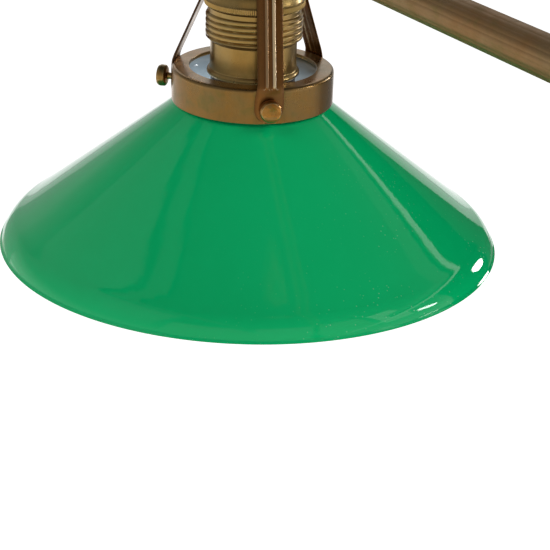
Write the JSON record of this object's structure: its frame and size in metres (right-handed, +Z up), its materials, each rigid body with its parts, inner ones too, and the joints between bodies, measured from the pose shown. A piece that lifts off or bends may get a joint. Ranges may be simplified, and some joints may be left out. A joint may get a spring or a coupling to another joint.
{
  "type": "pool table lamp",
  "caption": "Pool table lamp: reeded brass beam on a stem with a ceiling canopy, and green glass cone shades in strap galleries over the lamp holders.",
  "frame": {"origin": "centre of the ceiling plate's top face, on the ceiling", "axes": "+Z up into the ceiling, +X along the beam"},
  "size_m": [0.6562, 0.2062, 0.6089],
  "materials": {
    "brown_brass": "antique, satin",
    "pale_brass": "aged, satin",
    "dark_brass": "bronzed, satin",
    "green_glass": "gloss, cased over white",
    "porcelain": "glazed",
    "steel": "plated",
    "bulb_glass": "frosted"
  },
  "bodies": {
    "ceiling": {"ceiling_plate": "steel", "terminal_block": "porcelain", "ceiling_hook": "brown_brass"},
    "canopy": {"canopy": "brown_brass", "canopy_nut": "pale_brass"},
    "link": {"suspension_link": "brown_brass"},
    "frame": {"stem_eye": "brown_brass", "stem": "brown_brass", "hub": "pale_brass", "hub_drop": "pale_brass", "beam": "brown_brass", "finial_a": "pale_brass", "finial_b": "pale_brass", "shade_a": "green_glass", "gallery_ring_a": "brown_brass", "strap_1_a": "dark_brass", "strap_2_a": "dark_brass", "strap_3_a": "dark_brass", "strap_crown_a": "brown_brass", "beam_collar_a": "brown_brass", "nipple_a": "steel", "cap_nut_a": "pale_brass", "holder_cap_a": "pale_brass", "holder_barrel_a": "pale_brass", "holder_insulator_a": "porcelain", "screw_shell_a": "pale_brass", "shade_b": "green_glass", "gallery_ring_b": "brown_brass", "strap_1_b": "dark_brass", "strap_2_b": "dark_brass", "strap_3_b": "dark_brass", "strap_crown_b": "brown_brass", "beam_collar_b": "brown_brass", "nipple_b": "steel", "cap_nut_b": "pale_brass", "holder_cap_b": "pale_brass", "holder_barrel_b": "pale_brass", "holder_insulator_b": "porcelain", "screw_shell_b": "pale_brass"},
    "bulb_a": {"bulb_envelope_a": "bulb_glass", "bulb_cap_a": "steel"},
    "screw_1_a": {"thumbscrew_1_a": "pale_brass"},
    "screw_2_a": {"thumbscrew_2_a": "pale_brass"},
    "screw_3_a": {"thumbscrew_3_a": "pale_brass"},
    "bulb_b": {"bulb_envelope_b": "bulb_glass", "bulb_cap_b": "steel"},
    "screw_1_b": {"thumbscrew_1_b": "pale_brass"},
    "screw_2_b": {"thumbscrew_2_b": "pale_brass"},
    "screw_3_b": {"thumbscrew_3_b": "pale_brass"}
  },
  "joints": [
    {"name": "canopy_drop", "type": "slide", "parent": "ceiling", "child": "canopy", "axis": [0, 0, -1], "range_m": [0, 0.01]},
    {"name": "link_swing", "type": "hinge", "parent": "ceiling", "child": "link", "pos_m": [0, 0, -0.0825], "axis": [1, 0, 0], "range_deg": [-45, 45]},
    {"name": "beam_swing", "type": "hinge", "parent": "link", "child": "frame", "pos_m": [0, 0, -0.10345], "axis": [0, 1, 0], "range_deg": [-45, 45]},
    {"name": "bulb_a_unscrew", "type": "slide", "parent": "frame", "child": "bulb_a", "axis": [0, 0, -1], "range_m": [0, 0.028]},
    {"name": "screw_1_a_out", "type": "slide", "parent": "frame", "child": "screw_1_a", "axis": [0.9632, -0.2689, 0], "range_m": [0, 0.0027]},
    {"name": "screw_2_a_out", "type": "slide", "parent": "frame", "child": "screw_2_a", "axis": [-0.2147, 0.9767, 0], "range_m": [-0.001, 0.0017]},
    {"name": "screw_3_a_out", "type": "slide", "parent": "frame", "child": "screw_3_a", "axis": [-0.6468, -0.7627, 0], "range_m": [-0.0022, 0.0005]},
    {"name": "bulb_b_unscrew", "type": "slide", "parent": "frame", "child": "bulb_b", "axis": [0, 0, -1], "range_m": [0, 0.028]},
    {"name": "screw_1_b_out", "type": "slide", "parent": "frame", "child": "screw_1_b", "axis": [-0.9632, 0.2689, 0], "range_m": [0, 0.0027]},
    {"name": "screw_2_b_out", "type": "slide", "parent": "frame", "child": "screw_2_b", "axis": [0.2147, -0.9767, 0], "range_m": [-0.001, 0.0017]},
    {"name": "screw_3_b_out", "type": "slide", "parent": "frame", "child": "screw_3_b", "axis": [0.6468, 0.7627, 0], "range_m": [-0.0022, 0.0005]}
  ]
}
